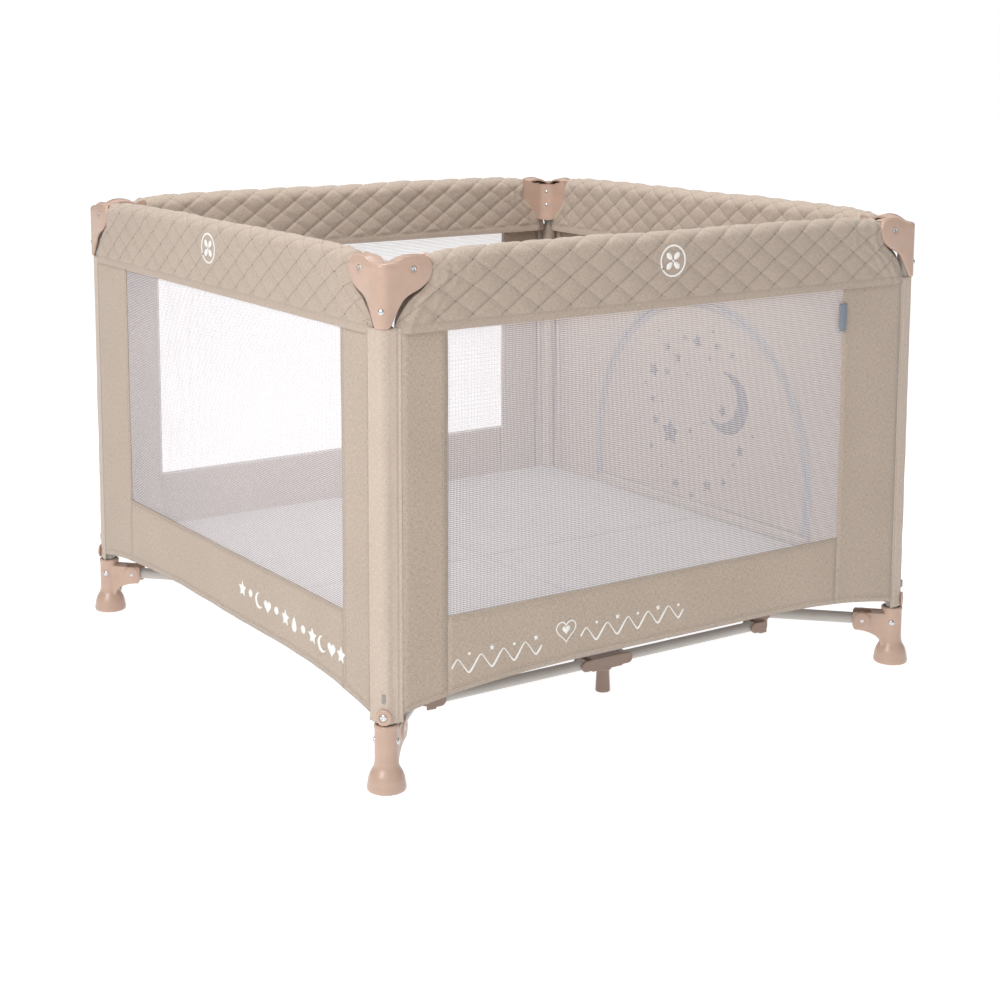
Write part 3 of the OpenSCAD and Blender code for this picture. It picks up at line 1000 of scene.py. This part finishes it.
teeth_line = arch(DOOR_R, DOOR_LOW, 160)
run = run_of(teeth_line)
teeth = {1: [], -1: []}
for k, a in enumerate(np.arange(3, run[-1] - 3, 2.6)):
    way = 1 if k % 2 else -1
    c, ahead = walk(teeth_line, run, [a, a + 1])
    d = unit(ahead - c)
    n = np.array([-d[1], d[0]])
    c = c + n * way * (1.2 if way > 0 else 1.6)
    v, f = block(-0.85, 0.85, -1.9, 0.9, -1.5, 1.5)
    x, z = c[:, None] + v[:, 0] * d[:, None] + v[:, 2] * n[:, None]
    teeth[way].append((np.stack([x, -HALF - float(wall_out(*c)) + 0.5 + v[:, 1], z], 1), f))
on_wall(piece("zip_teeth_wall", teeth[1], ZIP, 1), 1)
on_door(piece("zip_teeth_door", teeth[-1], ZIP, 1))
# the slider and its pull rest at the arch's foot, on the outside
sx, so, sz = on_face(DOOR_MID - DOOR_R, DOOR_LOW + 14)
slider = [block(sx - 5, sx + 5, so - 4.6, so - 1.6, sz - 6, sz + 6),
          block(sx - 1.6, sx + 1.6, so - 7, so - 4.4, sz - 5, sz + 4)]
pull = [(sx, so - 6, sz), (sx - 0.5, so - 6.6, sz - 5), (sx - 0.8, so - 5.6, sz - 16),
        (sx - 0.6, so - 4.6, sz - 27)]
slider.append(tube_mesh(pull, [1.3, 1.5, 2.6, 2.0], 10))
me = remeshed("zip_slider", slider, 0.5, 4)
on_wall(obj_of("zip_slider", me, ZIP, 1), 1)

# ---- sleeves round the posts -----------------------------------------------


def sleeve_wrap():
    """Cloth from the left panel round the post to the front panel, with a stitched channel."""
    r, reach, low, high = 12.7, HALF - EDGE, 93.5, 622.0
    path = corner_path(r, reach)
    ns, nz = 44, 110
    s = np.linspace(path.s[0], path.s[-1], ns + 1)
    p, n = path.at(s)
    S, Z = np.meshgrid(s, np.linspace(low, high, nz + 1), indexing="ij")
    flat = np.clip((np.abs(S) - r * math.pi / 4) / reach, 0, 1)
    lift = 1.7 * smoothstep(flat * 1.15) - 1.3 * hump(flat - 0.72, 0.1)
    lift += rough(S * 1.6, Z * 0.35, 16.0, 5.0) * (0.35 + 0.5 * (1 - flat)) * 0.8
    lift += rough(S, Z * 2.2, 11.0, 8.0) * 0.45 * flat
    lift = np.where(flat > 0.98, 1.7, np.maximum(lift, -0.3))
    lift = lift + 0.8 * (1 - smoothstep((Z - low) / 9.0))
    top = p[:, None] + n[:, None] * lift[..., None]
    v = np.concatenate([top, Z[..., None]], -1).reshape(-1, 3)
    normal = np.repeat(np.column_stack([n, np.zeros(len(n))]), nz + 1, 0)
    return thickened(v, grid_faces(ns, nz), np.stack([S.ravel(), v[:, 2]], 1), normal, 1.0)


def sleeve_channel():
    """The channel's inner half, from the front panel round the post to the left panel."""
    A, Z = np.meshgrid(np.radians(np.linspace(-97, 187, 33)), np.linspace(97, 622, 60),
                       indexing="ij")
    r = 12.3 + 0.5 * rough(A * 12, Z * 0.4, 12.0, 2.0)
    v = np.stack([r * np.cos(A), r * np.sin(A), Z], -1).reshape(-1, 3)
    normal = np.stack([np.cos(A), np.sin(A), 0 * A], -1).reshape(-1, 3)
    uv = np.stack([A.ravel() * 12, Z.ravel()], 1)
    return thickened(v, grid_faces(32, 59), uv, normal, 0.9)


# the outer wrap takes the lighter linen with its painted light, the channel the walls' own linen
sleeves = [("wrap", sleeve_wrap(), LINEN_PAINTED_LIT, (0.056, 0.5285)),
           ("channel", sleeve_channel(), LINEN, (0.061, 0.525))]
for i, corner in enumerate(CORNERS):
    for word, (v, f, uv), mat, flat in sleeves:
        o = piece(f"{corner}_sleeve_{word}", [(corner_at(v), f, uv)], mat, i)
        on_corner(o, i)

# ---- quilted trims over the rails ------------------------------------------

# the cloth's ends follow the outer and inner cap: mm from the post's axis at each height
OUT_END = [(612, 7), (622, 9.5), (630, 13), (638, 18), (646, 23.5), (654, 30), (661, 38.5),
           (667, 47), (674, 54), (682, 59), (692, 61), (704, 60), (722, 56)]
IN_END = [(612, 22), (626, 22), (640, 27), (652, 36), (664, 47), (676, 55), (690, 58), (702, 58),
          (722, 56)]
# the badge's middle: along the side, and round the trim from its lower edge
BADGE_X, BADGE_W = -8.0, STRAIGHT - (TRIM_MID - 679.5)


def profile(w):
    """Round the trim's section: offset from the rail's plane, height and outward direction."""
    w = np.asarray(w, float)
    a = np.clip((w - STRAIGHT) / TRIM_R, 0, math.pi)
    hang = np.maximum(STRAIGHT - w, 0) + np.maximum(w - STRAIGHT - math.pi * TRIM_R, 0)
    n = np.stack([-np.cos(a), np.sin(a)], -1)
    return TRIM_R * n[..., 0], TRIM_MID + TRIM_R * n[..., 1] - hang, n


def trim_end(w):
    """Half of the trim's length at w: between the outer cap's edge and the inner one's."""
    y, z, _ = profile(w)
    outer, inner = (np.interp(z, *np.array(ends).T) for ends in (OUT_END, IN_END))
    t = smoothstep((y + TRIM_R) / (2 * TRIM_R))
    return HALF - (outer * (1 - t) + inner * t)


def quilting(x, w):
    """How high the filling stands at a spot, with creases along the two seams."""
    p, q = (x / DIAMOND_W + s * w / DIAMOND_H for s in (1, -1))
    dp, dq = (np.abs(k - np.round(k)) * LINE_PITCH for k in (p, q))
    pillow = np.sqrt(np.abs(np.sin(math.pi * p) * np.sin(math.pi * q)) + 1e-9)
    h = 2.3 * pillow ** 0.8 - 0.35 * hump(dp, 2.2) - 1.0 * hump(dq, 2.2)
    return h + 0.6 * rough(x, w * 1.6, 13.0, 4.0) * pillow + 1.6 * rough(x, w, 75.0, 7.0)


def trim_shape(x, w):
    """The trim's surface at x along the side and w round it: 3-D points."""
    e = trim_end(w) - np.abs(x)
    y, z, n = profile(w)
    near = np.exp(-np.maximum(e, 0) / 42.0)
    # the binding along the lower edges
    flat = smoothstep((w - 11) / 5) * smoothstep((GIRTH - 11 - w) / 5)
    tape = 1.2 - 1.3 * hump(np.minimum(w, GIRTH - w) - 11.5, 1.6)
    h = quilting(x, w) * flat + tape * (1 - flat)
    # flat under the badge
    patch = smoothstep((32 - np.hypot(x - BADGE_X, w - BADGE_W)) / 8)
    h = h * (1 - patch) + 1.6 * patch
    # gathers beside the cap run along its edge
    fold = np.sin(2 * math.pi * e / 19.0 + 3.2 * rough(x, w, 34.0, 12.0))
    gather = 1.5 * fold + 1.5 * rough(x * 2.2, w * 0.7, 15.0, 15.0)
    gather = gather * near * smoothstep(e / 7.0) * (0.55 + 0.45 * flat)
    h = h * (1 - 0.45 * near) + gather
    # it tucks in behind the cap and drops a little towards it
    off = (1 - smoothstep(e / 20.0)) * (7.2 - 2.2 * smoothstep((z - 640) / 30))
    drop = 9.0 * near * smoothstep((z - 660) / 50)
    y = y + n[..., 0] * (h - off)
    return np.stack([x, -HALF + y, z + n[..., 1] * (h - off * 0.7) - drop], -1)


def trim_half(x, w, pts):
    """One half of the trim as a closed skin: its section closed below and at both ends."""
    nu, nw = pts.shape[0] - 1, pts.shape[1] - 1
    m = nw + 1
    v = pts.reshape(-1, 3)
    faces = grid_faces(nu, nw).tolist()
    faces += [[k * m + nw, (k + 1) * m + nw, (k + 1) * m, k * m] for k in range(nu)]
    uv = np.stack([x, w], -1).reshape(-1, 2)
    # the ends, on points of their own so that their edges stay crisp
    for row in (0, nu):
        at = len(v)
        v = np.concatenate([v, pts[row]])
        uv = np.concatenate([uv, uv[row * m:(row + 1) * m]])
        faces += [[at + k, at + k + 1, at + nw - k - 1, at + nw - k] for k in range(m // 2)]
    return v, faces, uv


def trim_spot(x, w):
    """A point on the trim's surface, and its outward direction."""
    dx = trim_shape(x + 2.0, w) - trim_shape(x - 2.0, w)
    dw = trim_shape(x, w + 2.0) - trim_shape(x, w - 2.0)
    return trim_shape(x, w), unit(np.cross(dx, dw))


trim_step = 2.6
nx = int(round((HALF - 60) / trim_step)) * 2
nw = int(round(GIRTH / trim_step))
tw = np.linspace(0, GIRTH, nw + 1)[None] + np.zeros((nx + 1, 1))
tx = np.linspace(-1, 1, nx + 1)[:, None] * trim_end(tw)
trim_pts = trim_shape(tx, tw)
halves = {"a": slice(0, nx // 2 + 1), "b": slice(nx // 2, nx + 1)}

# a knot where the seams cross, but not at the edges, the split between halves or the badge
knots = {"a": [], "b": []}
for a in range(-40, 41):
    for b in range(-40, 41):
        x, w = (a + b) / 2 * DIAMOND_W, (a - b) / 2 * DIAMOND_H
        on_badge = w < STRAIGHT and math.hypot(x, profile(w)[1] - 680) < 27
        if (17 < w < GIRTH - 17 and not on_badge
                and 1 <= abs(x) <= float(trim_end(np.array(w))) - 22):
            knots["a" if x < 0 else "b"].append((x, w))
knot_head = lathe([(0.01, -0.5), (1.3, -0.3), (1.55, 0.2), (1.0, 0.75), (0.01, 0.9)], 8)

for i, side in enumerate(SIDES):
    for half, cut in halves.items():
        cover = trim_half(tx[cut], tw[cut], trim_pts[cut])
        o = piece(f"{side}_trim_{half}", [cover], LINEN_TRIM, i)
        sharp(o, 55)
        heads = [placed(knot_head, c, n) for c, n in zip(*trim_spot(*np.array(knots[half]).T))]
        for p in (o, piece(f"{side}_trim_{half}_knots", heads, DOT, i)):
            rides(p, f"{side}_rail_{half}")
            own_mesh(p)

# ---- floor pads ------------------------------------------------------------

# how far the pad's edge lies outside the posts' axes, where two quarters meet, and the
# hollow round a post
PAD_REACH = 11.0
PAD_END = HALF - 0.15
PAD_HOLLOW = 15.5


def pad_part(seed):
    """A quarter of the pad: soft at its edges, hollowed round its post, with slight creases."""
    n = 92
    t = np.linspace(0, 1, n + 1)
    t = t - 0.035 * np.sin(2 * math.pi * t)
    g = -PAD_REACH + (PAD_END + PAD_REACH) * t
    X, Y = np.meshgrid(g, g, indexing="ij")
    edge = np.minimum(np.minimum(X, Y) + PAD_REACH, PAD_END - np.maximum(X, Y))
    k = np.maximum(PAD_HOLLOW / np.maximum(np.hypot(X, Y), 1e-6), 1.0)
    X, Y = np.maximum(X * k, -PAD_REACH), np.maximum(Y * k, -PAD_REACH)
    soft = rough(X, Y, 90.0, seed) * 1.2 + rough(X, Y, 28.0, seed + 4) * 0.4
    top = PAD_TOP - 1.4 + soft * smoothstep(edge / 40) - 4.6 * np.exp(-edge / 3.5)
    low = PAD_LOW + 0.6 + 4.0 * np.exp(-edge / 3.0)
    v = np.concatenate([np.stack([X, Y, z], -1).reshape(-1, 3) for z in (top, low)])
    m, count = n + 1, (n + 1) ** 2
    upper = grid_faces(n, n).tolist()
    faces = upper + [[b + count for b in reversed(f)] for f in upper]
    ring = [*range(n)] + [k * m + n for k in range(n)]
    ring += [count - 1 - k for k in range(n)] + [(n - k) * m for k in range(n)]
    faces += [[a, a + count, b + count, b] for a, b in zip(ring, ring[1:] + ring[:1])]
    return v, faces, v[:, :2]


for i, corner in enumerate(CORNERS):
    v, f, uv = pad_part(20.0 + i)
    o = piece(f"{corner}_pad", [(corner_at(v), f, uv)], PAD, i)
    rides(o, f"{corner}_base")
    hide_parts(f"{corner}_floor_pad")
    c, s, _ = along(i)
    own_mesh(o)

# ---- prints ----------------------------------------------------------------


def stroke(points, widths, closed=False):
    """A flat brush stroke: points are (u, v) in mm, widths the full width at each."""
    p = spline(points, 8, closed)
    m = len(p)
    w = np.interp(np.linspace(0, 1, m), np.linspace(0, 1, len(widths)), widths)
    t = unit(np.roll(p, -1, 0) - np.roll(p, 1, 0) if closed else np.gradient(p, axis=0))
    n = np.stack([-t[:, 1], t[:, 0]], 1) * w[:, None] / 2
    faces = [[k, k + 1, m + k + 1, m + k] for k in range(m - 1)]
    if closed:
        faces.append([m - 1, 0, m, 2 * m - 1])
    return np.concatenate([p + n, p - n]), faces


def star2d(cx, cy, r, inner=0.45, turn=90.0):
    a = np.radians(turn + np.arange(10) * 36.0)
    rr = np.where(np.arange(10) % 2 == 0, r, r * inner)
    return np.stack([cx + rr * np.cos(a), cy + rr * np.sin(a)], 1)


def heart2d(cx, cy, r):
    t = np.linspace(0, 2 * math.pi, 40, endpoint=False)
    x = 16 * np.sin(t) ** 3
    y = 13 * np.cos(t) - 5 * np.cos(2 * t) - 2 * np.cos(3 * t) - np.cos(4 * t)
    return np.stack([cx + x * r / 16, cy + y * r / 16], 1)


def crescent2d(cx, cy, r, turn):
    """A moon that opens towards turn, in degrees."""
    a = np.radians(np.linspace(52, 308, 40))
    outer_arc = np.stack([r * np.cos(a), r * np.sin(a)], 1)
    # the inner arc joins the outer one's ends
    x0, y0 = outer_arc[0]
    c = x0 * 0.62
    ri, start = math.hypot(x0 - c, y0), math.atan2(y0, x0 - c)
    b = np.linspace(2 * math.pi - start, start, 34)[1:-1]
    p = np.concatenate([outer_arc, np.stack([c + ri * np.cos(b), ri * np.sin(b)], 1)])
    t = math.radians(turn)
    m = np.array([[math.cos(t), -math.sin(t)], [math.sin(t), math.cos(t)]])
    return p @ m.T + [cx, cy]


def drop2d(cx, cy):
    half = [(7.5, -2), (4.5, -9)]
    p = [(0, 12)] + half + [(0, -10.5)] + [(-x, z) for x, z in reversed(half)]
    return spline(np.array(p) + [cx, cy], 5)


def blob(outline, pitch=4.0):
    return fill2d(outline, [], pitch)


def thin_print(parts, place, thick=0.28):
    """Flat shapes as closed skins; place maps (u, v) to 3-D points and outward directions."""
    out = []
    for v2, faces in parts:
        p, n = place(v2)
        out.append(thickened(p + n * 0.34, faces, v2, n, thick))
    return joined(out)


def on_wall_face(v2, inner_side=False):
    depth, way = faced(inner_side)
    return on_face(*v2.T, -depth), np.tile(np.array(OUTWARD) * way, (len(v2), 1))


def flourish():
    """A wavy ribbon on either side of a heart, with stars and dots over its dips."""
    base, wave = 158.0, 37.0
    parts = []
    for x0, waves, rise_from, rise_to in ((-376, 4, -6, 0), (-160, 5, 0, 8)):
        t = np.linspace(0, waves * 2 * math.pi, waves * 12 + 1)
        x = x0 + (t + 0.12 * np.sin(2 * t)) * wave / (2 * math.pi)
        y = base + rise_from + (rise_to - rise_from) * t / t[-1] + 10.5 * np.sin(t)
        parts.append(stroke(np.stack([x, y], 1), 2.3 + 0.9 * np.cos(t + 0.6)))
        for k in range(waves):
            cx = x0 + wave * (k + 0.75)
            cz = base + (rise_from + rise_to) * 0.4 + (15 if k % 2 else 13)
            star = k % 2 == 1
            parts.append(blob(star2d(cx, cz, 4.6, 0.5), 2.5) if star
                         else blob(circle2d(cx, cz, 2.3, 12), 2.0))
    parts.append(stroke(heart2d(-186, base + 14, 17.0)[::2], [2.3, 1.4, 2.3], True))
    parts.append(blob(heart2d(-186, base + 15, 7.0), 2.5))
    return parts


SHAPES = {
    "star": lambda x, z: spline(star2d(x, z, 12.5, 0.55), 3),
    "dot": lambda x, z: circle2d(x, z, 6.2, 26),
    "moon": lambda x, z: crescent2d(x, z, 12.0, 25),
    "heart": lambda x, z: heart2d(x, z, 11.0),
    "drop": drop2d,
}


def shapes_row():
    """A row of plain shapes, along the left side's skirt."""
    parts = []
    order = "star dot moon heart dot star drop dot star moon heart star"
    for k, kind in enumerate(order.split()):
        z = 178 - 27.0 * k * 0.066 + 1.6 * math.sin(k * 1.9)
        parts.append(blob(SHAPES[kind](78.0 + 27.0 * k, z)))
    return parts


# the door's stars as (x, z, size), and its dots
DOOR_STARS = [
    (115, 426, 8), (67, 450, 5), (32, 448, 11), (-22, 446, 7), (86, 410, 8), (154, 378, 12),
    (115, 380, 7), (-2, 421, 5), (-61, 435, 6), (157, 323, 7), (148, 285, 8), (104, 268, 21),
    (49, 280, 6), (158, 233, 6), (-39, 332, 10), (-87, 268, 10), (87, 176, 9), (-1, 189, 11),
    (-46, 204, 7), (42, 163, 6)]
DOOR_DOTS = [(140, 452), (178, 350), (128, 322), (-10, 470), (58, 384), (12, 302), (-120, 300),
             (128, 200), (20, 238), (-70, 240), (70, 220)]


def door_print():
    """A moon and stars, about where the printed ones are."""
    parts = [blob(spline(crescent2d(-50, 347, 56, 22), 1), 8.0)]
    for x, z, r in DOOR_STARS:
        parts.append(blob(star2d(x, z, r * 1.25, 0.52, 60 + (x * 7 + z * 3) % 60)))
    return parts + [blob(circle2d(x, z, 3.2, 10)) for x, z in DOOR_DOTS]


for i, shapes in ((0, flourish()), (3, shapes_row())):
    print_parts = [thin_print(shapes, on_wall_face)]
    on_wall(piece(f"{SIDES[i]}_skirt_print", print_parts, PRINT, i), i)
for inner_side, word in ((True, "inside"), (False, "outside")):
    shapes = thin_print(door_print(), lambda p, s=inner_side: on_wall_face(p, s))
    on_door(piece(f"door_print_{word}", [shapes], PRINT_GREY, 1))


def badge_parts():
    """A ring with a plain four-petalled flower."""
    m = 64
    v = np.concatenate([circle2d(0, 0, r, m) for r in (23.0, 20.4)])
    parts = [(v, [[k, (k + 1) % m, m + (k + 1) % m, m + k] for k in range(m)])]
    petal = [(2.5, 0), (7, 3.6), (12.5, 3.9), (15.8, 0), (12.5, -3.9), (7, -3.6)]
    for k in range(4):
        a = math.radians(90 * k + 45)
        c, s = math.cos(a), math.sin(a)
        parts.append(blob(spline(petal, 5) @ np.array([[c, s], [-s, c]]), 2.5))
    return parts + [blob(circle2d(0, 0, 1.7, 14), 2.0)]


def on_trim_face(v2):
    return trim_spot(v2[:, 0] + BADGE_X, BADGE_W + v2[:, 1])


badge = thin_print(badge_parts(), on_trim_face, 0.5)
for i, side in enumerate(SIDES):
    rides(piece(f"{side}_badge", [badge], PRINT, i), f"{side}_latch")

# the blank care label in the seam at the right of the front window: its size in mm
LABEL_W, LABEL_H = 13, 42
gx, gz = np.meshgrid(np.linspace(0, 1, 9), np.linspace(0, 1, 13), indexing="ij")
lx = WINDOWS[0][1] - 9 + LABEL_W * gx
ly = -HALF - 16.6 - 2.6 * np.sin(gx * 2.4) - 1.5 * gz * np.sin(gx * 5)
lv = np.stack([lx, ly, 592 - LABEL_H * gz], -1).reshape(-1, 3)
label = thickened(lv, grid_faces(8, 12), lv[:, [0, 2]], OUTWARD, 0.5)
o = on_wall(piece("care_label", [label], LABEL, 0), 0)

# ---- floor and light -------------------------------------------------------

FLOOR = 9000
corners = [(x * FLOOR, y * FLOOR, 0) for x, y in ((-1, -1), (1, -1), (1, 1), (-1, 1))]
ground = mesh_of("floor", corners, [(0, 1, 2, 3)])
# a white studio floor that glows a little, so that the shadows on it stay faint
floor_mat = Mat("floor", 0.6, Specular_IOR_Level=0.1, Emission_Color=(1, 1, 1, 1),
                Emission_Strength=0.88)
patches = floor_mat.noise(floor_mat.space(), 0.6)
floor_mat.colour(floor_mat.ramp(patches, [(0.3, (0.36,) * 3 + (1,)), (0.7, (0.39,) * 3 + (1,))]))
obj_of("floor", ground, floor_mat.m)

# the backdrop is seen white, and lights the object less strongly
world = bpy.data.worlds.new("studio")
bpy.context.scene.world = world
world.use_nodes = True
tree = world.node_tree
lit, seen = tree.nodes["Background"], tree.nodes.new("ShaderNodeBackground")
for background, strength in ((lit, 0.42), (seen, 1.0)):
    background.inputs["Color"].default_value = (1.0, 1.0, 1.0, 1)
    background.inputs["Strength"].default_value = strength
ray, mix_world = tree.nodes.new("ShaderNodeLightPath"), tree.nodes.new("ShaderNodeMixShader")
for out, socket in ((ray.outputs["Is Camera Ray"], mix_world.inputs[0]),
                    (lit.outputs[0], mix_world.inputs[1]), (seen.outputs[0], mix_world.inputs[2]),
                    (mix_world.outputs[0], tree.nodes["World Output"].inputs["Surface"])):
    tree.links.new(out, socket)


def area_light(name, at, target, size, power, colour=(1, 1, 1)):
    light = bpy.data.lights.new(name, "AREA")
    light.size, light.energy, light.color = size, power, colour
    o = bpy.data.objects.new(name, light)
    bpy.context.scene.collection.objects.link(o)
    o.location = at
    o.rotation_euler = (Vector(target) - Vector(at)).to_track_quat("-Z", "Y").to_euler()


area_light("key_left", (-3.2, -1.5, 2.3), (-0.3, -0.2, 0.4), 1.8, 75, (1.0, 0.985, 0.965))
area_light("fill_front", (-1.9, -2.9, 1.7), (-0.3, -0.4, 0.4), 1.2, 6)
area_light("top", (0, 0, 2.5), (0, 0, 0), 1.3, 34)
